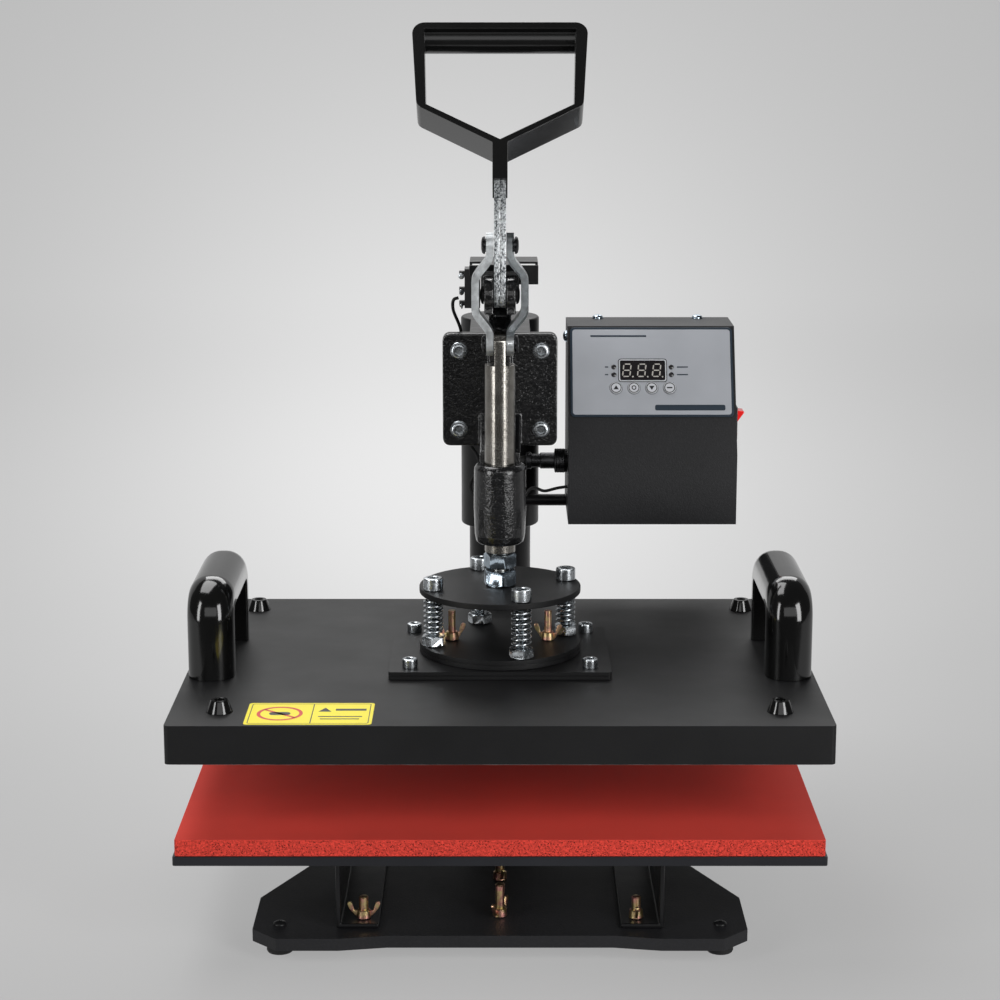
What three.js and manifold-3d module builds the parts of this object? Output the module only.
// A swing-away flat heat press: a base with a post, a head that swings on the post, a toggle lever
// that drives a plunger down, and a sprung heated platen over a silicone pad.
// Millimetres, +Z up. The origin is on the floor, under the middle of the press's own box.
// Left and right are as seen from the front, which faces -Y. The press is open, with its lever up.
import * as THREE from "three";
import { mergeVertices } from "three/addons/utils/BufferGeometryUtils.js";
import Module from "manifold-3d";

const wasm = await Module();
wasm.setup();

// ---- Clearances ----
const seat = 0.3; // gap under a piece that rests on another
const slip = 0.4; // all round a shaft in its hole
const side = 0.3; // between two flat faces that slide past each other

// ---- Work area ----
const platenWidth = 400;
const platenDepth = 300;
const platenThick = 12;
const platenShows = 1.5; // how far the platen hangs below the cover's rim
const coverLap = 4; // the cover reaches past the platen by this, all round
const coverWall = 2;
const coverHeight = 24.5;
const trayLap = 1.5; // the tray reaches past the pad at each side
const trayThick = 6;
const padThick = 11;
const openGap = 48.2; // pad to platen with the press open

// ---- Base ----
const footRadius = 8.5;
const footHeight = 10;
const footX = 139;
const footFrontSetback = 34; // from the cover's front edge to the front feet
const rearFootX = 42;
const rearFootSetback = 22; // from the base's rear edge
const baseThick = 8;
const baseFrontSetback = 15; // from the cover's front edge to the middle of the base's front
const toeReach = 5; // the toes stand this far ahead of the middle
const toeHalfWidth = 155.5;
const toeChamfer = 16;
const toeSideLength = 53;
const toeInnerX = 70.75; // where the middle of the front starts to slant out to the toes
const toeOuterX = 100.5; // and where the slant ends
const tailHalfWidth = 60;
const tailLength = 121; // the straight part behind the slanting sides
const tailChamfer = 10;
const tailOverhang = 27.5; // from the post's back to the rear edge

// ---- Tray channels and bolts ----
const channelOuterX = 103;
const channelWidth = 27;
const channelHeight = 50;
const channelWall = 3;
const channelLength = 162;
const channelSetback = 11; // behind the middle of the base's front
const trayBoltRadius = 3;
const trayBoltFlats = 10;
const trayBoltHead = 3;
const trayBoltRise = 18; // above the base
const channelBoltX = 86;
const channelBoltSetback = 11; // from the channel's front end
const centreBoltRise = 22;
const centreBoltSetbacks = [33, 97]; // behind the middle of the base's front

// ---- Wing nuts ----
const wingHubRadius = 4.6;
const wingHubHeight = 5.5;
const wingSpan = 21;
const smallWingSpan = 19;
const wingRise = 10.5;
const wingThick = 2;

// ---- Post and sleeve ----
const postRadius = 22.5;
const postWall = 3;
const postWeld = 5; // fillet at the post's foot
const postGap = 19.5; // from the platen cover's back edge to the post
const sleeveWall = 5.6;
const sleeveLength = 154;
const sleeveCap = 6;
const sleeveBelowFlange = 8; // the sleeve's top is this far below the flange's top

// ---- Sprung platen mounting ----
const mountingWidth = 144;
const mountingDepth = 112;
const mountingThick = 5.3;
const discRadius = 53.5;
const lowerDiscThick = 6.5;
const upperDiscThick = 4;
const discPitch = 37.7; // from the lower disc's top to the upper disc's top
const springBoltRadius = 4;
const springHeadRadius = 6.5;
const springHeadHeight = 8;
const springBoltCircle = 46;
const springBoltTurn = 17.5; // degrees from +X to the first bolt
const springNutFlats = 14;
const springNutHeight = 6.5;
const springRadius = 6.65;
const springWire = 1;
const springTurns = 6.5;
const discStudX = 32;
const discStudRadius = 2.5;
const discStudRise = 20;

// ---- Plunger ----
const plungerRadius = 10;
const plungerLength = 147; // from its lower shoulder to its flattened top
const plungerFlat = 4; // half thickness of the flattened top
const plungerFlatLength = 21.5;
const endThreadRadius = 6;
const adjustNutFlats = 19.6;
const adjustNutHeight = 10.2;
const lockNutFlats = 18.8;
const lockNutHeight = 9.6;
const threadShows = 1.2; // bare thread between the two nuts

// ---- Toggle ----
const crank = 32; // yoke pin to lever pin
const leverSwing = 130; // degrees that the lever turns
const linkLength = 64; // lever pin to plunger pin
const plungerPinDrop = 8; // below the plunger's top
const rivetRadius = 4;
const leverPlate = 3.7; // thickness of each of the two plates
const leverGap = 0.15; // from the middle to each plate
const leverHalfWidth = 8.5;
const leverTopHalfWidth = 12; // the lever widens towards its handle
const leverLean = 30; // degrees that the upper lever leans back
const leverShows = 40; // bare lever above its pin
const leverInHandle = 20;
const linkThick = 4.8;
const linkHalfWidth = 8;
const linkBow = 9.5; // how far the straps bow out past the yoke
const linkBowLength = 24;
const linkSlant = 12;
const rivetHeadRadius = 6.3;
const rivetHeadHeight = 2.4;

// ---- Handle, measured along the lever from its pin ----
const gripDepth = 30;
const gripTop = 153;
const gripTopHalfWidth = 57.7;
const gripLowHalfWidth = 54.7;
const gripTopSide = 7.8; // thickness of the sides at the top
const gripLowSide = 6.4; // and at their lower ends
const gripCorner = 8;
const gripShoulder = 92; // where the sides meet the slanting arms
const gripArmEnd = 66; // where the arms meet the stem
const gripArmThick = 4.2;
const gripBarRadius = 9.5;
const gripBarDrop = 4.7; // the round bar's centre, below the grip's top
const stemHalfWidth = 4.9;

// ---- Casting ----
const guideWall = 6.6;
const guideLength = 53.5;
const guideAbovePlungerEnd = 6.6; // from the plunger's lower shoulder to the guide's underside
const guideTipWall = 3.1;
const webHalfWidth = 7.5;
const yokeHalfWidth = 10.2;
const yokeSlot = 4.1; // half width of the lever's slot
const yokeRadius = 10.4;
const flangeWidth = 77;
const flangeHeight = 76;
const flangeCorner = 5;
const flangeThick = 5;
const flangeSetback = 45; // from the plunger's centre to the flange's front
const flangeTopDrop = 32; // from the yoke pin to the flange's top
const flangeScrewX = 27.5;
const flangeScrewZ = 26.7;
const flangeScrewHole = 3.4;
const stopHalfWidth = 12.6;
const stopFront = 14; // behind the plunger's centre
const stopDepth = 18;
const stopRise = 14; // above the yoke pin

// ---- Head arm ----
const armWidth = 42;
const armHeight = 60;
const armWall = 3;
const endPlateThick = 5;

// ---- Switch and its bracket ----
const bracketWidth = 45;
const bracketShift = 2.5; // its middle is this far right of the lever
const bracketDepth = 30;
const bracketFlap = 13;
const bracketShortFlap = 5.5; // on the left, above the switch
const bracketSheet = 1.5;
const bracketSpacer = 2;
const bracketSetback = 18; // from the stop block's front to the bracket's front
const switchLength = 26;
const switchThick = 10.3;
const switchDepth = 16;
const switchOverhang = 3.5; // the switch stands out past the left flap
const terminalShares = [0.14, 0.55, 0.9]; // down the switch

// ---- Controller ----
const boxGap = 20; // from the sleeve's side to the box
const boxWidth = 119.5;
const boxDepth = 92;
const boxHeight = 136;
const boxKnee = 50; // height of the upright lower front
const boxSetForward = 75; // the box's front stands this far ahead of the post's centre
const boxSlopeRun = 44;
const boxWall = 1.5;
const boxBelowFlange = 11.5; // the box's top is this far below the flange's top
const barRadius = 4.3;
const barAboveBox = 6.2; // height of the carrying bar's centre in the box
const barSetForward = 20; // ahead of the post's centre
const barInBox = 14;
const labelWidth = 116;
const labelHeight = 67;
const labelThick = 0.8;
const labelTopDrop = 1.4; // below the slope's top edge
const buttonRadius = 4.4;
const buttonRise = 1.1;
const buttonPitch = 12.7;
const buttonDrop = 45.6; // below the label's top
const buttonShift = -6.5; // the row's centre, from the label's centre
const buttonTravel = 0.6;
const rockerSetback = 24; // behind the box's front
const rockerDrop = 66; // below the box's top
const rockerLength = 21; // of its hole
const rockerWidth = 14; // of its hole
const rockerGap = 1.1; // between the rocker and its hole
const rockerTilt = 10;
const plugSetback = 22; // behind the box's front
const plugAboveBox = 42;
const plugRadius = 5.8;
const plugNutRadius = 8.8;
const plugNutLength = 9.5;
const plugLength = 30; // outside the box
const plugNeck = 8; // the slimmer part behind its clamp
const mainsGlandRadius = 7;
const mainsGlandLength = 12;
const mainsGlandFlangeRadius = 9.5;
const mainsGlandBore = 3.8;
const mainsGlandInset = 24; // from the back cover's right and lower edges

// ---- Cables ----
const heaterCableRadius = 3.5;
const wireRadius = 1.1;
const cableGlandSetback = 22; // from the cover's back edge
const cableGlandHeight = 14;
const cableGlandRadius = 7;

// ---- Side handles ----
const handleInset = 17; // from the cover's side to the handle's centre
const handleWidth = 30;
const handleLength = 118;
const handleHeight = 64;
const handleThick = 20;
const handleCorner = 26;

// ---- Levels, from the floor up ----
const baseTop = footHeight + baseThick;
const trayBottom = baseTop + channelHeight;
const trayTop = trayBottom + trayThick;
const padTop = trayTop + padThick;
const platenBottom = padTop + openGap;
const coverBottom = platenBottom + platenShows;
const coverTop = coverBottom + coverHeight;
const mountingTop = coverTop + mountingThick;
const lowerDiscTop = mountingTop + lowerDiscThick;
const upperDiscTop = lowerDiscTop + discPitch;
const upperDiscBottom = upperDiscTop - upperDiscThick;
const plungerEnd = upperDiscTop + adjustNutHeight + threadShows + lockNutHeight + 4 * seat;
const plungerTop = plungerEnd + plungerLength;
const plungerPinZ = plungerTop - plungerPinDrop;
const yokeZ = plungerPinZ + linkLength - crank;
const leverPinZ = yokeZ + crank;
const flangeTop = yokeZ - flangeTopDrop;
const flangeMidZ = flangeTop - flangeHeight / 2;
const sleeveTop = flangeTop - sleeveBelowFlange;
const sleeveBottom = sleeveTop - sleeveLength;
const boxTop = flangeTop - boxBelowFlange;
const boxBottom = boxTop - boxHeight;
const barZ = boxBottom + barAboveBox;

// ---- Places in plan, from the plunger's centre, with +Y towards the back ----
const coverWidth = platenWidth + 2 * coverLap;
const coverDepth = platenDepth + 2 * coverLap;
const coverFront = -coverDepth / 2;
const postY = coverDepth / 2 + postGap + postRadius;
const baseFront = coverFront + baseFrontSetback;
const baseRear = postY + postRadius + tailOverhang;
const sleeveRadius = postRadius + slip + sleeveWall;
const flangeBack = flangeSetback + flangeThick;
const endPlateBack = flangeBack + seat + endPlateThick;
const boxLeft = sleeveRadius + boxGap;
const boxFront = postY - boxSetForward;
const guideRadius = plungerRadius + slip + guideWall;
const guideTipRadius = plungerRadius + slip + guideTipWall;
const headY = -(coverFront + baseRear) / 2; // puts the origin under the middle of the whole box

// ---- Finishes ----
function finish(color, roughness, metalness = 0) {
  return new THREE.MeshStandardMaterial({ color, roughness, metalness });
}
const blackPowder = finish(0x232325, 0.7);
const glossBlack = finish(0x0c0c0d, 0.2);
const satinBlack = finish(0x1a1a1c, 0.45);
const traySteel = finish(0x24272e, 0.55);
const redSilicone = finish(0xc23328, 0.85);
const rubber = finish(0x141414, 0.9);
const zinc = finish(0xc9ced2, 0.3, 1);
const yellowZinc = finish(0xb59a72, 0.4, 1);
const darkNickel = finish(0x8a867f, 0.3, 1);
const aluminium = finish(0xb8b8b4, 0.45, 1);
const charcoal = finish(0x2b2b2e, 0.75);
const silverLabel = finish(0x97989c, 0.4, 0.3);
const redLens = finish(0xd8241f, 0.25);

// ---- Solids ----
const coarse = 10;
const medium = 20;
const fine = 36;

// A geometry as a closed solid, with its seams joined and its faces turned outwards.
function solid(geometry) {
  const bare = new THREE.BufferGeometry().setAttribute("position", geometry.getAttribute("position"));
  bare.setIndex(geometry.index);
  const merged = mergeVertices(bare, 1e-4);
  const points = merged.attributes.position;
  const faces = [];
  let volume = 0;
  for (let i = 0; i < merged.index.count; i += 3) {
    const [a, b, c] = [0, 1, 2].map((k) => merged.index.getX(i + k));
    if (a === b || b === c || c === a) continue;
    faces.push(a, b, c);
    const [p, q, r] = [a, b, c].map((k) => new THREE.Vector3().fromBufferAttribute(points, k));
    volume += p.dot(q.cross(r));
  }
  if (volume < 0) faces.reverse();
  return new wasm.Manifold(
    new wasm.Mesh({ numProp: 3, vertProperties: points.array, triVerts: new Uint32Array(faces) }),
  );
}

function geometryOf(shape) {
  const mesh = shape.getMesh();
  const geometry = new THREE.BufferGeometry();
  geometry.setAttribute("position", new THREE.BufferAttribute(mesh.vertProperties, 3));
  geometry.setIndex(new THREE.BufferAttribute(mesh.triVerts, 1));
  geometry.computeVertexNormals();
  return geometry;
}

// A block standing on z = bottom.
function block(width, depth, height, x = 0, y = 0, bottom = 0) {
  return solid(new THREE.BoxGeometry(width, depth, height).translate(x, y, bottom + height / 2));
}

// An upright cylinder standing on z = bottom.
function rod(radius, height, x = 0, y = 0, bottom = 0, sides = medium) {
  const geometry = new THREE.CylinderGeometry(radius, radius, height, sides).rotateX(Math.PI / 2);
  return solid(geometry.translate(x, y, bottom + height / 2));
}

// A cylinder lying along X, from x = from to x = to.
function crossRod(radius, from, to, y = 0, z = 0, sides = medium) {
  const geometry = new THREE.CylinderGeometry(radius, radius, to - from, sides).rotateZ(Math.PI / 2);
  return solid(geometry.translate((from + to) / 2, y, z));
}

// A turned solid about Z, from [radius, height] pairs.
function turned(profile, sides = medium) {
  const points = profile.map(([radius, height]) => new THREE.Vector2(radius, height));
  return solid(new THREE.LatheGeometry(points, sides).rotateX(Math.PI / 2));
}

function outline(points) {
  return new THREE.Shape(points.map(([u, v]) => new THREE.Vector2(u, v)));
}

// A rectangle with round corners, centred on (u, v).
function roundedRect(width, height, corner, u = 0, v = 0) {
  const [a, b] = [width / 2 - corner, height / 2 - corner];
  const shape = new THREE.Shape();
  shape.absarc(u + a, v + b, corner, 0, Math.PI / 2);
  shape.absarc(u - a, v + b, corner, Math.PI / 2, Math.PI);
  shape.absarc(u - a, v - b, corner, Math.PI, 1.5 * Math.PI);
  shape.absarc(u + a, v - b, corner, 1.5 * Math.PI, 2 * Math.PI);
  shape.closePath();
  return shape;
}

// A flat plate in the XY plane, standing on z = bottom.
function plate(shape, thickness, bottom = 0, curveSegments = 4) {
  const options = { depth: thickness, bevelEnabled: false, curveSegments };
  return solid(new THREE.ExtrudeGeometry(shape, options).translate(0, 0, bottom));
}

// A shape drawn in (y, z) and given a thickness along X, from x = from to x = to.
function sideProfile(shape, from, to, curveSegments = 6) {
  const options = { depth: to - from, bevelEnabled: false, curveSegments };
  const x = new THREE.Vector3(1, 0, 0);
  const y = new THREE.Vector3(0, 1, 0);
  const z = new THREE.Vector3(0, 0, 1);
  const turn = new THREE.Matrix4().makeBasis(y, z, x);
  return solid(new THREE.ExtrudeGeometry(shape, options).applyMatrix4(turn).translate(from, 0, 0));
}

// A shape drawn in (x, z) and given a thickness along Y, from y = from to y = to.
function frontProfile(shape, from, to, curveSegments = 4) {
  const options = { depth: to - from, bevelEnabled: false, curveSegments };
  const geometry = new THREE.ExtrudeGeometry(shape, options).rotateX(Math.PI / 2);
  return solid(geometry.translate(0, to, 0));
}

// A round tube along a curve, with closed ends.
function cable(points, radius, steps, sides = 8) {
  const places = points.map((p) => new THREE.Vector3(...p));
  const path = new THREE.CatmullRomCurve3(places, false, "centripetal");
  const section = new THREE.Shape();
  for (let i = 0; i < sides; i++) {
    const angle = (2 * Math.PI * i) / sides;
    const [u, v] = [radius * Math.cos(angle), radius * Math.sin(angle)];
    if (i === 0) section.moveTo(u, v);
    else section.lineTo(u, v);
  }
  section.closePath();
  return solid(new THREE.ExtrudeGeometry(section, { steps, extrudePath: path, bevelEnabled: false }));
}

// A hexagon bar standing on z = bottom, with its corners turned off at the ends.
function hexagon(flats, height, bottom, chamfer = 0.9) {
  const corner = flats / Math.sqrt(3);
  const bar = solid(new THREE.CylinderGeometry(corner, corner, height, 6).rotateX(Math.PI / 2));
  const turnedBar = turned(
    [
      [0, -height / 2],
      [flats / 2, -height / 2],
      [corner, -height / 2 + chamfer],
      [corner, height / 2 - chamfer],
      [flats / 2, height / 2],
      [0, height / 2],
    ],
    12,
  );
  return bar.intersect(turnedBar).translate([0, 0, bottom + height / 2]);
}

function turnedBy(shape, degrees) {
  return shape.rotate([0, 0, degrees]);
}

// ---- The scene graph ----
const press = new THREE.Group();
const baseGroup = new THREE.Group();
const headGroup = new THREE.Group();
baseGroup.position.set(0, headY, 0);
headGroup.position.set(0, headY, 0);
press.add(baseGroup, headGroup);

function add(group, name, shape, material, x = 0, y = 0, z = 0) {
  const mesh = new THREE.Mesh(geometryOf(shape), material);
  mesh.name = name;
  mesh.position.set(x, y, z);
  group.add(mesh);
  return mesh;
}

const bothSides = [
  ["left", -1],
  ["right", 1],
];

// ---- Base ----
const rearFootY = baseRear - rearFootSetback;
const footFrontY = coverFront + footFrontSetback;
const channelFront = baseFront + channelSetback;
const channelBoltY = channelFront + channelBoltSetback;
const channelInner = channelOuterX - channelWidth;
const channelFloorTop = baseTop + seat + channelWall;
const tailStart = baseRear - tailLength;

function makeBasePlate() {
  const toeFront = baseFront - toeReach;
  const right = [
    [toeInnerX, baseFront],
    [toeOuterX, toeFront],
    [toeHalfWidth - toeChamfer, toeFront],
    [toeHalfWidth, toeFront + toeChamfer],
    [toeHalfWidth, toeFront + toeChamfer + toeSideLength],
    [tailHalfWidth, tailStart],
    [tailHalfWidth, baseRear - tailChamfer],
    [tailHalfWidth - tailChamfer, baseRear],
  ];
  const left = right.map(([x, y]) => [-x, y]).reverse();
  let shape = plate(outline([...right, ...left]), baseThick);
  const holes = [
    [-channelBoltX, channelBoltY],
    [channelBoltX, channelBoltY],
    ...centreBoltSetbacks.map((back) => [0, baseFront + back]),
  ];
  for (const [x, y] of holes) {
    shape = shape.subtract(rod(trayBoltRadius + slip, baseThick + 2, x, y, -1, coarse));
  }
  add(baseGroup, "base_plate", shape, charcoal, 0, 0, footHeight);
}

function makeFeet() {
  const shape = turned([
    [0, 0],
    [footRadius - 1.5, 0],
    [footRadius, 1.5],
    [footRadius - 0.8, footHeight - seat],
    [0, footHeight - seat],
  ]);
  for (const [name, sign] of bothSides) {
    add(baseGroup, "foot_front_" + name, shape, rubber, sign * footX, footFrontY, 0);
    add(baseGroup, "foot_rear_" + name, shape, rubber, sign * rearFootX, rearFootY, 0);
  }
}

// A C-shaped channel that opens towards the middle of the press, with a slot for its bolt.
function makeChannels() {
  const [w, h, t] = [channelWidth, channelHeight - 2 * seat, channelWall];
  for (const [name, sign] of bothSides) {
    const web = [
      [w, 0],
      [w, h],
      [0, h],
      [0, h - t],
      [w - t, h - t],
      [w - t, t],
      [0, t],
      [0, 0],
    ];
    const boltX = sign * (channelBoltX - channelInner);
    const hole = rod(trayBoltRadius + slip, 3 * t, boltX, channelBoltSetback, -t, coarse);
    const bar = frontProfile(outline(web.map(([u, v]) => [sign * u, v])), 0, channelLength);
    const [x, z] = [sign * channelInner, baseTop + seat];
    add(baseGroup, "tray_channel_" + name, bar.subtract(hole), satinBlack, x, channelFront, z);
  }
}

// A bolt that comes up through the base plate, with its thin head underneath.
function trayBolt(rise) {
  const head = hexagon(trayBoltFlats, trayBoltHead, -trayBoltHead, 0.5);
  return head.add(rod(trayBoltRadius, baseThick + rise + seat, 0, 0, -seat, coarse));
}

// A forged wing nut: a tapered hub with two upright wings, bored for its bolt.
function wingNut(span, bolt) {
  const hub = turned(
    [
      [0, 0],
      [wingHubRadius, 0],
      [wingHubRadius - 0.7, wingHubHeight],
      [0, wingHubHeight],
    ],
    12,
  );
  const half = span / 2;
  const wing = outline([
    [wingHubRadius - 2.2, 0.8],
    [wingHubRadius + 0.6, 1.4],
    [half - 1.4, wingRise - 4.6],
    [half, wingRise - 1.6],
    [half - 0.9, wingRise],
    [half - 3.1, wingRise - 0.4],
    [wingHubRadius - 1, wingHubHeight - 0.6],
    [wingHubRadius - 2.2, wingHubHeight - 0.6],
  ]);
  const oneWing = frontProfile(wing, -wingThick / 2, wingThick / 2);
  const nut = hub.add(oneWing).add(turnedBy(oneWing, 180));
  return nut.subtract(rod(bolt + slip, wingRise * 3, 0, 0, -wingRise, coarse));
}

function makeTrayFastenings() {
  const sideBolt = trayBolt(trayBoltRise);
  const centreBolt = trayBolt(centreBoltRise);
  const nut = wingNut(wingSpan, trayBoltRadius);
  for (const [name, sign] of bothSides) {
    const x = sign * channelBoltX;
    const y = channelBoltY;
    const turnedNut = turnedBy(nut, sign < 0 ? 0 : 90);
    add(baseGroup, "channel_bolt_" + name, sideBolt, yellowZinc, x, y, footHeight - seat);
    add(baseGroup, "channel_wing_nut_" + name, turnedNut, yellowZinc, x, y, channelFloorTop + seat);
  }
  ["front", "rear"].forEach((name, i) => {
    const y = baseFront + centreBoltSetbacks[i];
    add(baseGroup, "centre_bolt_" + name, centreBolt, yellowZinc, 0, y, footHeight - seat);
    const turnedNut = turnedBy(nut, 62 + 40 * i);
    add(baseGroup, "centre_wing_nut_" + name, turnedNut, yellowZinc, 0, y, baseTop + seat);
  });
}

function makeTrayAndPad() {
  const tray = plate(roundedRect(platenWidth + 2 * trayLap, platenDepth, 1.5), trayThick);
  add(baseGroup, "lower_tray", tray, traySteel, 0, 0, trayBottom);
  const pad = plate(roundedRect(platenWidth, platenDepth, 1.5), padThick - seat);
  add(baseGroup, "silicone_pad", pad, redSilicone, 0, 0, trayTop + seat);
}

// The post is a tube with a weld fillet at its foot. Its top stops under the sleeve's cap.
function makePost() {
  const height = sleeveTop - sleeveCap - seat - baseTop - seat;
  const shape = turned([
    [postRadius - postWall, 0],
    [postRadius + postWeld, 0],
    [postRadius + postWeld * 0.4, postWeld * 0.4],
    [postRadius, postWeld],
    [postRadius, height],
    [postRadius - postWall, height],
    [postRadius - postWall, 0],
  ], fine);
  add(baseGroup, "post", shape, satinBlack, 0, postY, baseTop + seat);
}

// ---- Swinging head ----
// The sleeve turns on the post. Its cap rests on the post's top, and a bar on its right side,
// welded on, carries the controller.
function makeSleeve() {
  const inner = postRadius + slip;
  const tube = turned([
    [inner, 0],
    [sleeveRadius - 0.8, 0],
    [sleeveRadius, 0.8],
    [sleeveRadius, sleeveLength - 1],
    [sleeveRadius - 1, sleeveLength],
    [0, sleeveLength],
    [0, sleeveLength - sleeveCap],
    [inner, sleeveLength - sleeveCap],
    [inner, 0],
  ], fine);
  const bar = crossRod(barRadius, 0, boxLeft + barInBox, -barSetForward, barZ - sleeveBottom, 20);
  const core = rod(inner + sleeveWall / 2, sleeveLength, 0, 0, -1, fine);
  add(headGroup, "pivot_sleeve", tube.add(bar.subtract(core)), satinBlack, 0, postY, sleeveBottom);
}

// A square tube from the sleeve to the end plate that the casting is screwed to.
function makeHeadArm() {
  const length = postY - endPlateBack;
  const shell = block(armWidth, length, armHeight, 0, length / 2, -armHeight / 2);
  const [insideWidth, insideHeight] = [armWidth - 2 * armWall, armHeight - 2 * armWall];
  const hollow = block(insideWidth, length + 2, insideHeight, 0, length / 2, -insideHeight / 2);
  const face = roundedRect(flangeWidth, flangeHeight, flangeCorner);
  const endPlate = frontProfile(face, -endPlateThick, 0.01);
  const sleeve = rod(sleeveRadius + seat, flangeHeight * 3, 0, length, -flangeHeight * 1.5, fine);
  let shape = shell.subtract(hollow).add(endPlate).subtract(sleeve);
  shape = shape.subtract(flangeScrewHoles(-endPlateThick));
  add(headGroup, "head_arm", shape, satinBlack, 0, endPlateBack, flangeMidZ);
}

function flangeScrewHoles(y) {
  const r = flangeScrewHole;
  const hole = solid(new THREE.CylinderGeometry(r, r, 4 * flangeThick, coarse));
  const places = [-1, 1].flatMap((i) => [-1, 1].map((j) => [i * flangeScrewX, y, j * flangeScrewZ]));
  return wasm.Manifold.union(places.map((place) => hole.translate(place)));
}

// The casting: guide sleeve round the plunger, web, flange, and the yoke that holds the lever.
// Its own origin is on the plunger's centre line at the yoke pin's height.
function makeCasting() {
  const guideTop = plungerEnd + guideAbovePlungerEnd + guideLength - yokeZ;
  const guideBottom = guideTop - guideLength;
  const [top, bottom] = [flangeTop - yokeZ, flangeTop - flangeHeight - yokeZ];
  const bore = plungerRadius + slip;
  const neckFloor = plungerTop - yokeZ + 1.5;
  const guide = turned([
    [0, guideBottom],
    [guideTipRadius, guideBottom],
    [guideTipRadius + 2.2, guideBottom + 1.5],
    [guideRadius - 0.4, guideBottom + 6],
    [guideRadius + 0.3, guideBottom + guideLength * 0.45],
    [guideRadius, guideTop - 3],
    [guideRadius - 1.6, guideTop - 0.8],
    [guideRadius - 3, guideTop],
    [0, guideTop],
  ], fine);
  const web = outline([
    [guideRadius - 4, guideBottom + 12],
    [flangeSetback + 1, bottom + 4],
    [flangeSetback + 1, top - 4],
    [stopFront + stopDepth, top + 16],
    [stopFront + stopDepth, 0],
    [0, 0],
    [-yokeRadius + 2.5, -yokeRadius - 1.6],
    [linkHalfWidth + 0.5, -yokeRadius - 7],
    [bore + 1, neckFloor],
    [bore + 1, guideBottom + 12],
  ]);
  const ears = new THREE.Shape();
  ears.absarc(0, 0, yokeRadius, -0.75 * Math.PI, 0.5 * Math.PI, true);
  ears.lineTo(stopFront + 2, yokeRadius);
  ears.lineTo(stopFront + 2, -yokeRadius - 2);
  ears.lineTo(-yokeRadius + 2.5, -yokeRadius - 1.6);
  const face = roundedRect(flangeWidth, flangeHeight, flangeCorner, 0, (top + bottom) / 2);
  const flange = frontProfile(face, flangeSetback, flangeBack);
  const stop = block(2 * stopHalfWidth, stopDepth, stopRise + 6, 0, stopFront + stopDepth / 2, -6);
  const gusset = sideProfile(outline([
    [bore + 4, guideTop - 16],
    [flangeSetback + 1, bottom + 2],
    [flangeSetback + 1, bottom + 22],
    [bore + 4, guideTop + 4],
  ]), -guideTipRadius, guideTipRadius);
  // The slot's floor lies just under the lever when it is all the way down.
  const swing = THREE.MathUtils.degToRad(leverSwing);
  const under = leverHalfWidth + 1;
  const floor = (along) => [
    -along * Math.sin(swing) - under * Math.cos(swing),
    along * Math.cos(swing) - under * Math.sin(swing),
  ];
  const [floorEndY, floorEndZ] = floor(3 * yokeRadius);
  const slot = sideProfile(outline([
    [floorEndY, 3 * yokeRadius],
    [floorEndY, floorEndZ],
    floor(0),
    [yokeRadius, -yokeRadius / 2],
    [yokeRadius + 1.5, 3 * yokeRadius],
  ]), -yokeSlot, yokeSlot);
  const plungerWay = rod(bore, neckFloor - guideBottom + 2, 0, 0, guideBottom - 1, fine);
  const yokePinHole = crossRod(rivetRadius + slip, -3 * yokeHalfWidth, 3 * yokeHalfWidth, 0, 0, 14);
  let shape = guide
    .add(sideProfile(web, -webHalfWidth, webHalfWidth))
    .add(sideProfile(ears, -yokeHalfWidth, yokeHalfWidth))
    .add(flange)
    .add(stop)
    .add(gusset)
    .subtract(slot)
    .subtract(plungerWay)
    .subtract(yokePinHole);
  shape = shape.subtract(flangeScrewHoles(flangeSetback).translate([0, 0, (top + bottom) / 2]));
  add(headGroup, "toggle_casting", shape, glossBlack, 0, 0, yokeZ);
}

function rivetHead(from, outward) {
  const between = (end) => [from, from + outward * end].sort((a, b) => a - b);
  const rim = crossRod(rivetHeadRadius, ...between(rivetHeadHeight / 2), 0, 0, 14);
  return rim.add(crossRod(rivetHeadRadius * 0.72, ...between(rivetHeadHeight), 0, 0, 14));
}

function makeYokePin() {
  const face = yokeHalfWidth + side;
  const shape = crossRod(rivetRadius, -face - 1, face + 1, 0, 0, 14)
    .add(rivetHead(face, 1))
    .add(rivetHead(-face, -1));
  add(headGroup, "yoke_pin", shape, zinc, 0, 0, yokeZ);
}

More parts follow.
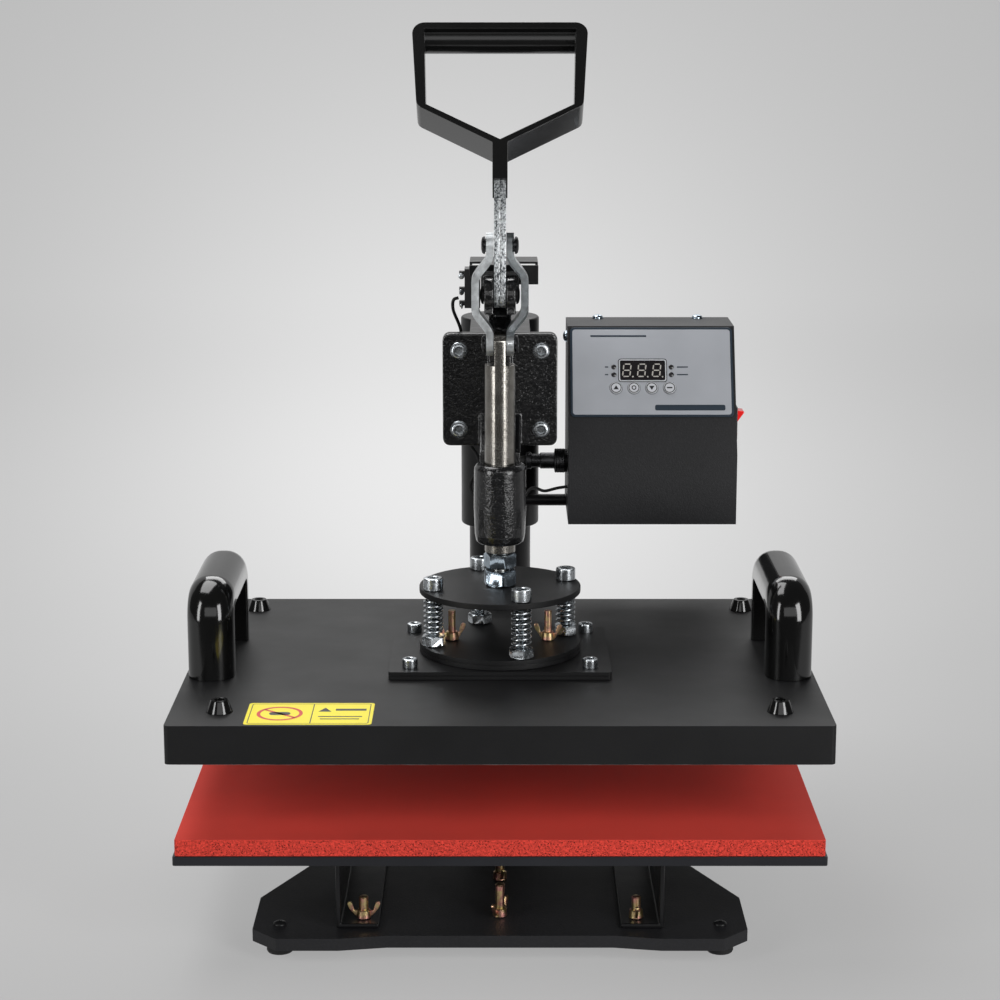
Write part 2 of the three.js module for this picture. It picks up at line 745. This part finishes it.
// The inverted U bracket on the stop block, and the limit switch under its left flap.
function makeSwitch() {
  const bracketFront = bracketSetback + stopFront;
  const blockTop = yokeZ + stopRise + seat;
  const [half, t] = [bracketWidth / 2, bracketSheet];
  const section = outline([
    [-half, t - bracketShortFlap],
    [-half + t, t - bracketShortFlap],
    [-half + t, 0],
    [half - t, 0],
    [half - t, t - bracketFlap],
    [half, t - bracketFlap],
    [half, t],
    [-half, t],
  ]);
  const tongue = block(2 * stopHalfWidth - 2, bracketSetback + 4, t + bracketSpacer, -bracketShift,
    2 - bracketSetback / 2, -bracketSpacer);
  const bracket = frontProfile(section, 0, bracketDepth).add(tongue);
  const sheetZ = blockTop + bracketSpacer;
  add(headGroup, "switch_bracket", bracket, satinBlack, bracketShift, bracketFront, sheetZ);
  const body = block(switchThick, switchDepth, switchLength, 0, 0, -switchLength);
  const terminal = block(4.5, 4.8, 3.2, -switchThick / 2 - 1.4, 0, 0);
  const drops = terminalShares.map((share) => switchLength * share + 1.6);
  const terminals = drops.map((drop) => terminal.translate([0, 0, -drop]));
  const button = rod(1.6, 3, 0, 4, -switchLength - 1.5, coarse);
  const shape = wasm.Manifold.union([body, ...terminals, button]);
  const x = bracketShift - half - switchOverhang + switchThick / 2;
  const z = sheetZ + t - bracketShortFlap - side;
  add(headGroup, "limit_switch", shape, rubber, x, bracketFront + bracketDepth / 2, z);
}

// ---- Controller ----
function boxProfile(inset) {
  const slope = Math.atan2(boxSlopeRun, boxHeight - boxKnee);
  const kneeShift = inset * Math.tan(slope / 2);
  return [
    [inset, inset],
    [inset, boxKnee + kneeShift],
    [boxSlopeRun + inset * Math.tan(Math.PI / 4 + slope / 2), boxHeight - inset],
    [boxDepth + inset, boxHeight - inset],
    [boxDepth + inset, inset],
  ];
}

// A folded sheet box, open at the back, where its cover closes it.
function makeControllerBox() {
  const shell = sideProfile(outline(boxProfile(0)), 0, boxWidth);
  const hollow = sideProfile(outline(boxProfile(boxWall)), boxWall, boxWidth - boxWall);
  const barY = postY - barSetForward - boxFront;
  const barHole = crossRod(barRadius + slip, -1, boxWall + 1, barY, barAboveBox, 20);
  const plugHole = crossRod(plugRadius + slip, -1, boxWall + 1, plugSetback, plugAboveBox, 20);
  const rockerBottom = boxHeight - rockerDrop - rockerLength / 2;
  const rockerCut = [4 * boxWall, rockerWidth, rockerLength];
  const rockerHole = block(...rockerCut, boxWidth, rockerSetback, rockerBottom);
  const shape = shell.subtract(hollow).subtract(barHole).subtract(plugHole).subtract(rockerHole);
  add(headGroup, "controller_box", shape, charcoal, boxLeft, boxFront, boxBottom);
}

// The back cover fits inside the box's open back. The mains lead's gland is in its lower corner.
function makeBackCover() {
  const [w, h] = [boxWidth - 2 * (boxWall + side), boxHeight - 2 * (boxWall + side)];
  const alongY = (r, length, sides) => solid(new THREE.CylinderGeometry(r, r, length, sides));
  const flange = alongY(mainsGlandFlangeRadius, 4, 6).translate([0, -2.8, 0]);
  const gland = alongY(mainsGlandRadius, mainsGlandLength, 24).add(flange);
  const bore = alongY(mainsGlandBore, 3 * mainsGlandLength, coarse);
  const spot = [w / 2 - mainsGlandInset, mainsGlandLength / 2 - 1, mainsGlandInset - h / 2];
  const sheet = frontProfile(roundedRect(w, h, 1), -boxWall, 0);
  const shape = sheet.add(gland.translate(spot)).subtract(bore.translate(spot));
  const [x, y, z] = [boxLeft + boxWidth / 2, boxFront + boxDepth, boxBottom + boxHeight / 2];
  add(headGroup, "box_back_cover", shape, charcoal, x, y, z);
}

// The slope carries the label and its four buttons. Their group's XY plane lies on the slope,
// with its origin at the middle of the slope's top edge and +Y up the slope.
function makePanel() {
  const slope = Math.atan2(boxSlopeRun, boxHeight - boxKnee);
  const panel = new THREE.Group();
  panel.position.set(boxLeft + boxWidth / 2, boxFront + boxSlopeRun, boxTop);
  panel.rotation.x = Math.PI / 2 - slope;
  headGroup.add(panel);
  let label = plate(roundedRect(labelWidth, labelHeight, 3, 0, -labelHeight / 2), labelThick, 0, 3);
  const cap = turned([
    [0, 0],
    [buttonRadius, 0],
    [buttonRadius, buttonRise - 0.4],
    [buttonRadius - 0.5, buttonRise],
    [0, buttonRise],
  ], 16);
  const names = ["up", "ok", "down", "enter"];
  const places = names.map((name, i) => [buttonShift + (i - 1.5) * buttonPitch, -buttonDrop]);
  const well = rod(buttonRadius + 0.25, labelThick * 4, 0, 0, -labelThick, 16);
  for (const [x, y] of places) label = label.subtract(well.translate([x, y, 0]));
  add(panel, "control_label", label, silverLabel, 0, -labelTopDrop, seat);
  names.forEach((name, i) => {
    const [x, y] = places[i];
    const z = seat + 0.1 + buttonTravel + 0.05;
    add(panel, "button_" + name, cap, silverLabel, x, y - labelTopDrop, z);
  });
}

// The red rocker pivots on an axis along Y, in the box's right side. Its upper half stands out.
function makeRocker() {
  const [halfLength, halfWidth] = [rockerLength / 2 - rockerGap, rockerWidth / 2 - rockerGap];
  const lens = frontProfile(outline([
    [-3, -halfLength],
    [2.6, -halfLength],
    [1.4, 0],
    [2.6, halfLength],
    [-3, halfLength],
  ]), -halfWidth, halfWidth);
  const tilt = new THREE.Group();
  tilt.position.set(boxLeft + boxWidth, boxFront + rockerSetback, boxTop - rockerDrop);
  tilt.rotation.y = THREE.MathUtils.degToRad(rockerTilt);
  headGroup.add(tilt);
  add(tilt, "rocker_switch", lens, redLens);
}

// The heater lead's screw connector: plug body, knurled ring and cable clamp, along X.
function makeHeaterPlug() {
  const end = -plugLength;
  const shape = crossRod(plugRadius, end + plugNeck, boxWall + 4, 0, 0, 14)
    .add(crossRod(plugNutRadius, -plugNutLength, -seat, 0, 0, 20))
    .add(crossRod(plugRadius - 1, end + 2, end + 1.5 * plugNeck, 0, 0, 20))
    .add(crossRod(plugRadius + 0.8, end, end + plugNeck / 2, 0, 0, 8))
    .subtract(crossRod(heaterCableRadius + slip, end - 1, end + plugNeck - 1, 0, 0, coarse));
  const [y, z] = [boxFront + plugSetback, boxBottom + plugAboveBox];
  add(headGroup, "heater_plug", shape, darkNickel, boxLeft, y, z);
}

// The heater lead runs from the plug down behind the casting to the gland on the cover.
function makeHeaterCable() {
  const [x, y, z] = [boxLeft - 30, boxFront + plugSetback, boxBottom + plugAboveBox];
  const glandY = coverDepth / 2 - cableGlandSetback;
  const glandZ = coverTop + cableGlandHeight;
  const points = [
    [x + 6, y, z],
    [x - 2, y, z],
    [x - 11, y - 1, z - 3],
    [x - 18, y - 3, z - 12],
    [x - 19, y - 6, z - 28],
    [2, glandY - 3, (z + glandZ) / 2 + 4],
    [0, glandY - 1, glandZ + 22],
    [0, glandY, glandZ + 8],
    [0, glandY, glandZ - 9],
  ];
  add(headGroup, "heater_cable", cable(points, heaterCableRadius, 22), rubber);
}

// The limit switch's thin lead: down behind the flange, round the guide and into the box.
function makeSwitchWire() {
  const back = bracketSetback + stopFront + bracketDepth / 2;
  const left = bracketShift - bracketWidth / 2 - switchOverhang;
  const boxY = boxFront + 12;
  const boxZ = boxBottom + 25;
  const points = [
    [left - 4.1, back, yokeZ - 8],
    [left - 7, back, yokeZ - 9],
    [left - 8, back + 6, yokeZ - 16],
    [left - 3, back + 16, yokeZ - 32],
    [-25, back + 18, flangeTop - 20],
    [-25, back + 18, flangeMidZ],
    [-23, back + 14, flangeMidZ - 34],
    [-14, back, flangeMidZ - 50],
    [-20, back - 8, flangeMidZ - 66],
    [-8, back - 10, flangeMidZ - 77],
    [10, back, flangeMidZ - 81],
    [21, back + 28, flangeMidZ - 74],
    [32, boxY - 20, boxZ + 1],
    [boxLeft - 7, boxY, boxZ - 1],
    [boxLeft - seat, boxY, boxZ],
  ];
  add(headGroup, "switch_wire", cable(points, wireRadius, 42), rubber);
}

// ---- Toggle ----
// Each lever plate: upright past the yoke pin to the lever pin, then leaning back.
function leverOutline() {
  const lean = THREE.MathUtils.degToRad(leverLean);
  const reach = leverShows + leverInHandle;
  const half = leverHalfWidth;
  const [sin, cos] = [Math.sin(lean), Math.cos(lean)];
  const along = (u, w) => [w * sin + u * cos, crank + w * cos - u * sin];
  const shape = new THREE.Shape();
  shape.absarc(0, 0, half, -Math.PI, 0);
  shape.lineTo(half, crank - half * Math.tan(lean / 2));
  shape.lineTo(...along(leverTopHalfWidth, leverShows));
  shape.lineTo(...along(leverTopHalfWidth, reach));
  shape.lineTo(...along(-leverTopHalfWidth, reach));
  shape.lineTo(...along(-leverTopHalfWidth, leverShows));
  shape.lineTo(-half, crank + half * Math.tan(lean / 2));
  shape.closePath();
  return shape;
}

function makeLever() {
  const holes = crossRod(rivetRadius + slip, -20, 20, 0, 0, 14).add(
    crossRod(rivetRadius + slip, -20, 20, 0, crank, 14),
  );
  for (const [name, sign] of bothSides) {
    const [from, to] = [leverGap, leverGap + leverPlate].map((x) => sign * x).sort((a, b) => a - b);
    const shape = sideProfile(leverOutline(), from, to, 7).subtract(holes);
    add(headGroup, "lever_plate_" + name, shape, zinc, 0, 0, yokeZ);
  }
}

// The D-shaped handle lies in the leaning lever's plane: u across, w along the lever.
function makeHandle() {
  const handle = new THREE.Group();
  handle.position.set(0, 0, leverPinZ);
  handle.rotation.x = -THREE.MathUtils.degToRad(leverLean);
  headGroup.add(handle);
  const [low, high, r] = [gripLowHalfWidth, gripTopHalfWidth, gripCorner];
  const outer = new THREE.Shape();
  outer.moveTo(stemHalfWidth, leverShows);
  outer.lineTo(stemHalfWidth, gripArmEnd);
  outer.lineTo(low - 3, gripShoulder - 1);
  outer.quadraticCurveTo(low, gripShoulder + 0.5, low, gripShoulder + 5);
  outer.lineTo(high, gripTop - r);
  outer.absarc(high - r, gripTop - r, r, 0, Math.PI / 2);
  outer.absarc(r - high, gripTop - r, r, Math.PI / 2, Math.PI);
  outer.lineTo(-low, gripShoulder + 5);
  outer.quadraticCurveTo(-low, gripShoulder + 0.5, 3 - low, gripShoulder - 1);
  outer.lineTo(-stemHalfWidth, gripArmEnd);
  outer.lineTo(-stemHalfWidth, leverShows);
  outer.closePath();
  const slope = (gripShoulder - gripArmEnd) / (low - stemHalfWidth);
  const rise = gripArmThick * Math.hypot(1, slope);
  const innerEnd = gripArmEnd - stemHalfWidth * slope + rise;
  const [lowInside, highInside] = [low - gripLowSide, high - gripTopSide];
  const barZ = gripTop - gripBarDrop;
  const opening = outline([
    [0, innerEnd],
    [lowInside, innerEnd + lowInside * slope],
    [highInside, barZ],
    [-highInside, barZ],
    [-lowInside, innerEnd + lowInside * slope],
  ]);
  const body = frontProfile(outer, -gripDepth / 2, gripDepth / 2, 3);
  const hole = frontProfile(opening, -gripDepth, gripDepth);
  const bar = crossRod(gripBarRadius, -highInside - 1, highInside + 1, 0, barZ);
  const reach = leverInHandle + side + 1;
  const [wide, deep] = [2 * (leverGap + leverPlate + side), 2 * (leverTopHalfWidth + side)];
  const socket = block(wide, deep, reach, 0, 0, leverShows - 1);
  add(handle, "lever_handle", body.subtract(hole).add(bar).subtract(socket), glossBlack);
}

// A link strap in the XZ plane at rest, from the lever pin down to the plunger pin, bowed out
// round the yoke. The strap's own origin is at the lever pin.
function makeLinks() {
  const inner = leverGap + leverPlate + side;
  const [half, t, bow] = [linkHalfWidth, linkThick, linkBow];
  const middle = -crank;
  const [high, low] = [middle + linkBowLength / 2, middle - linkBowLength / 2];
  const bend = [
    [inner, half],
    [inner, high + linkSlant],
    [inner + bow, high],
    [inner + bow, low],
    [inner, low - linkSlant],
    [inner, -linkLength - half],
  ];
  const outerSide = bend.map(([x, z], i) => [x + t, z + [0, 2, 1.6, -1.6, -2, 0][i]]).reverse();
  const strapEnd = (z) => crossRod(half, -40, 40, 0, z, 16);
  const width = block(80, 2 * half, linkLength, 0, 0, -linkLength);
  const envelope = width.add(strapEnd(0)).add(strapEnd(-linkLength));
  for (const [name, sign] of bothSides) {
    const profile = outline([...bend, ...outerSide].map(([x, z]) => [sign * x, z]));
    let shape = frontProfile(profile, -half, half).intersect(envelope);
    const face = sign * (inner + t);
    const head = rivetHead(face, sign);
    shape = shape.add(head.translate([0, 0, -linkLength]));
    if (name === "left") {
      const farFace = inner + t + side;
      const shank = crossRod(rivetRadius, face - 0.5, farFace + 0.5, 0, 0, 14);
      shape = shape.add(head).add(shank).add(rivetHead(farFace, 1));
    } else {
      shape = shape.subtract(crossRod(rivetRadius + slip, 0, 40, 0, 0, 14));
    }
    add(headGroup, "link_" + name, shape, zinc, 0, 0, leverPinZ);
  }
}

// ---- Plunger ----
function makePlunger() {
  const [r, flat] = [plungerRadius, plungerFlat - side];
  const shoulder = plungerLength - plungerFlatLength;
  const endLength = plungerEnd - upperDiscBottom;
  let shape = turned([
    [0, -endLength],
    [endThreadRadius, -endLength],
    [endThreadRadius, 0],
    [r - 0.8, 0],
    [r, 0.8],
    [r, plungerLength],
    [0, plungerLength],
  ], fine);
  for (const sign of [-1, 1]) {
    shape = shape.subtract(block(2 * r, 3 * r, plungerLength, sign * (flat + r), 0, shoulder));
  }
  const face = roundedRect(2 * r + 0.6, 4 * r, r - 0.5, 0, plungerLength - 2 * r);
  const cheek = sideProfile(face, -r, r, 8);
  const below = block(4 * r, 4 * r, shoulder + endLength + r, 0, 0, -endLength - r);
  shape = shape.intersect(cheek.add(below));
  add(headGroup, "plunger", shape, darkNickel, 0, 0, plungerEnd);
  const adjusting = turnedBy(hexagon(adjustNutFlats, adjustNutHeight, 0), 8);
  const locking = turnedBy(hexagon(lockNutFlats, lockNutHeight, 0), 22);
  const thread = rod(endThreadRadius + slip, 3 * adjustNutHeight, 0, 0, -adjustNutHeight, 24);
  add(headGroup, "adjusting_nut", adjusting.subtract(thread), zinc, 0, 0, upperDiscTop + seat);
  const lockZ = plungerEnd - seat - lockNutHeight;
  add(headGroup, "lock_nut", locking.subtract(thread), zinc, 0, 0, lockZ);
}

const springBoltPlaces = [0, 1, 2, 3].map((i) => {
  const angle = THREE.MathUtils.degToRad(springBoltTurn + 90 * i);
  return [springBoltCircle * Math.cos(angle), springBoltCircle * Math.sin(angle)];
});

// A disc with holes given as [x, y, radius], and an optional groove round the middle of its edge.
function drilledDisc(thickness, holes, groove = 0) {
  const middle = thickness / 2;
  const grooveProfile = [
    [discRadius, middle - groove / 2],
    [discRadius - groove, middle - groove / 2],
    [discRadius - groove, middle + groove / 2],
    [discRadius, middle + groove / 2],
  ];
  let shape = turned(
    [[0, 0], [discRadius, 0], ...(groove ? grooveProfile : []), [discRadius, thickness], [0, thickness]],
    fine + 12,
  );
  for (const [x, y, radius] of holes) {
    shape = shape.subtract(rod(radius, 4 * thickness, x, y, -thickness, coarse));
  }
  return shape;
}

function makeDiscs() {
  const boltHoles = springBoltPlaces.map(([x, y]) => [x, y, springBoltRadius + slip]);
  const upper = drilledDisc(upperDiscThick, [...boltHoles, [0, 0, endThreadRadius + slip]]);
  add(headGroup, "upper_disc", upper, blackPowder, 0, 0, upperDiscBottom);
  const thick = lowerDiscThick - seat;
  let lower = drilledDisc(thick, boltHoles, 0.6);
  for (const sign of [-1, 1]) {
    lower = lower.add(rod(discStudRadius, discStudRise + 1, sign * discStudX, 0, thick - 1, coarse));
  }
  add(headGroup, "lower_disc", lower, blackPowder, 0, 0, mountingTop + seat);
  const nut = wingNut(smallWingSpan, discStudRadius);
  for (const [name, sign] of bothSides) {
    const turn = sign < 0 ? 20 : -12;
    const shape = turnedBy(nut, turn);
    const [x, z] = [sign * discStudX, lowerDiscTop + seat];
    add(headGroup, "disc_wing_nut_" + name, shape, yellowZinc, x, 0, z);
  }
}

// Each spring bolt hangs by its head on the upper disc. Its nut clamps it to the lower disc, and
// the spring stands between that nut and the upper disc.
function makeSpringBolts() {
  const shank = upperDiscTop + seat - mountingTop - 2 * seat;
  const nutTop = lowerDiscTop + seat + springNutHeight;
  const headZ = shank;
  const head = turned([
    [0, headZ],
    [springHeadRadius, headZ],
    [springHeadRadius, headZ + springHeadHeight - 0.8],
    [springHeadRadius - 0.8, headZ + springHeadHeight],
    [0, headZ + springHeadHeight],
  ], 18);
  const socket = solid(new THREE.CylinderGeometry(3.5, 3.5, 8, 6).rotateX(Math.PI / 2));
  const nutBottom = lowerDiscTop + seat - (mountingTop + 2 * seat);
  const bolt = head
    .add(rod(springBoltRadius, shank + 1, 0, 0, 0, 12))
    .subtract(socket.translate([0, 0, headZ + springHeadHeight]))
    .add(hexagon(springNutFlats, springNutHeight, nutBottom));
  const springHeight = upperDiscBottom - nutTop - 2 * seat;
  const spring = springSolid(springHeight);
  springBoltPlaces.forEach(([x, y], i) => {
    const number = i + 1;
    add(headGroup, "spring_bolt_" + number, turnedBy(bolt, 25 * i), zinc, x, y, mountingTop + 2 * seat);
    add(headGroup, "spring_" + number, turnedBy(spring, 40 * i), zinc, x, y, nutTop + seat);
  });
}

function springSolid(height) {
  const centre = springRadius - springWire;
  const rise = height - 2 * springWire;
  class Helix extends THREE.Curve {
    getPoint(t, target = new THREE.Vector3()) {
      const angle = 2 * Math.PI * springTurns * t;
      return target.set(centre * Math.cos(angle), centre * Math.sin(angle), springWire + rise * t);
    }
  }
  const section = new THREE.Shape();
  const sides = 5;
  for (let i = 0; i < sides; i++) {
    const angle = (2 * Math.PI * i) / sides;
    const [u, v] = [springWire * Math.cos(angle), springWire * Math.sin(angle)];
    if (i === 0) section.moveTo(u, v);
    else section.lineTo(u, v);
  }
  section.closePath();
  const steps = Math.round(springTurns * 8);
  const settings = { steps, extrudePath: new Helix(), bevelEnabled: false };
  return solid(new THREE.ExtrudeGeometry(section, settings));
}

// ---- Heated platen ----
// The mounting plate is two sheets on a slightly smaller core, which shows as a line round its edge.
function makeMountingPlate() {
  const thick = mountingThick - seat;
  const half = (thick - 0.4) / 2;
  const leaf = plate(roundedRect(mountingWidth, mountingDepth, 2), half);
  const core = block(mountingWidth - 1.6, mountingDepth - 1.6, thick);
  const shape = leaf.add(core).add(leaf.translate([0, 0, half + 0.4]));
  add(headGroup, "mounting_plate", shape, blackPowder, 0, 0, coverTop + seat);
}

function makeCover() {
  const outer = plate(roundedRect(coverWidth, coverDepth, 3), coverHeight);
  const [insideWidth, insideDepth] = [coverWidth - 2 * coverWall, coverDepth - 2 * coverWall];
  const hollow = block(insideWidth, insideDepth, coverHeight, 0, 0, -coverWall);
  const glandY = coverDepth / 2 - cableGlandSetback;
  const gland = rod(cableGlandRadius, cableGlandHeight + 1, 0, glandY, coverHeight - 1, 20);
  const bore = rod(heaterCableRadius + slip, 2 * cableGlandHeight, 0, glandY, coverHeight + 0.1, coarse);
  const shape = outer.subtract(hollow).add(gland).subtract(bore);
  add(headGroup, "platen_cover", shape, blackPowder, 0, 0, coverBottom);
}

function makePlaten() {
  const shape = plate(roundedRect(platenWidth, platenDepth, 4), platenThick);
  add(headGroup, "heated_platen", shape, aluminium, 0, 0, platenBottom);
}

// A bow handle with a rectangular section, along Y.
function makeSideHandles() {
  const [a, h, t, r] = [handleLength / 2, handleHeight, handleThick, handleCorner];
  const bow = new THREE.Shape();
  bow.moveTo(a, 0);
  bow.absarc(a - r, h - r, r, 0, Math.PI / 2);
  bow.absarc(r - a, h - r, r, Math.PI / 2, Math.PI);
  bow.lineTo(-a, 0);
  bow.lineTo(t - a, 0);
  bow.absarc(r - a, h - r, r - t, Math.PI, Math.PI / 2, true);
  bow.absarc(a - r, h - r, r - t, Math.PI / 2, 0, true);
  bow.lineTo(a - t, 0);
  bow.closePath();
  const shape = sideProfile(bow, -handleWidth / 2, handleWidth / 2, 8);
  const reach = coverWidth / 2 - handleInset;
  for (const [name, sign] of bothSides) {
    add(headGroup, "side_handle_" + name, shape, glossBlack, sign * reach, 0, coverTop + seat);
  }
}

makeBasePlate();
makeFeet();
makeChannels();
makeTrayFastenings();
makeTrayAndPad();
makePost();
makeSleeve();
makeHeadArm();
makeCasting();
makeYokePin();
makeSwitch();
makeControllerBox();
makeBackCover();
makePanel();
makeRocker();
makeHeaterPlug();
makeHeaterCable();
makeSwitchWire();
makeLever();
makeHandle();
makeLinks();
makePlunger();
makeDiscs();
makeSpringBolts();
makeMountingPlate();
makeCover();
makePlaten();
makeSideHandles();

export default press;
